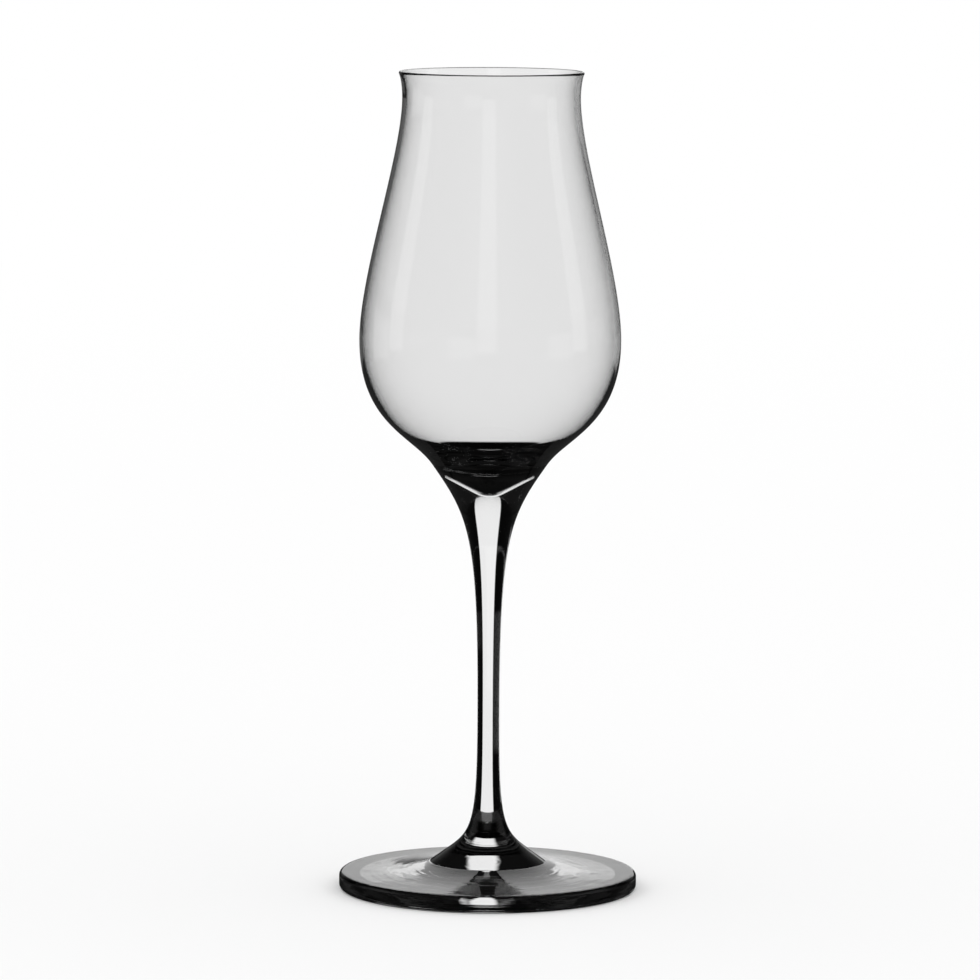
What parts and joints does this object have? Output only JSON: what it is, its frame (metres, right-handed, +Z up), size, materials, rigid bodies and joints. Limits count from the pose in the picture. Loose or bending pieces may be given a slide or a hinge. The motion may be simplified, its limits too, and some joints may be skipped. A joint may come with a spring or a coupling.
{
  "type": "digestif glass",
  "caption": "Tall stemmed drinking glass with a small tulip bowl, a slightly flared lip, a slim drawn stem and a flat round foot.",
  "frame": {"origin": "centre of the foot's resting ring, on the surface that the glass stands on", "axes": "+Z up along the glass's own axis; the glass is round, so +X and +Y are any two level directions"},
  "size_m": [0.0732, 0.0732, 0.2011],
  "materials": {
    "bowl_glass": "thin blown clear glass, fire polished",
    "stem_glass": "solid drawn clear glass, fire polished",
    "foot_glass": "pressed and spun clear glass with faint rings"
  },
  "bodies": {
    "root": {"bowl": "bowl_glass", "stem": "stem_glass", "foot": "foot_glass"}
  },
  "joints": []
}
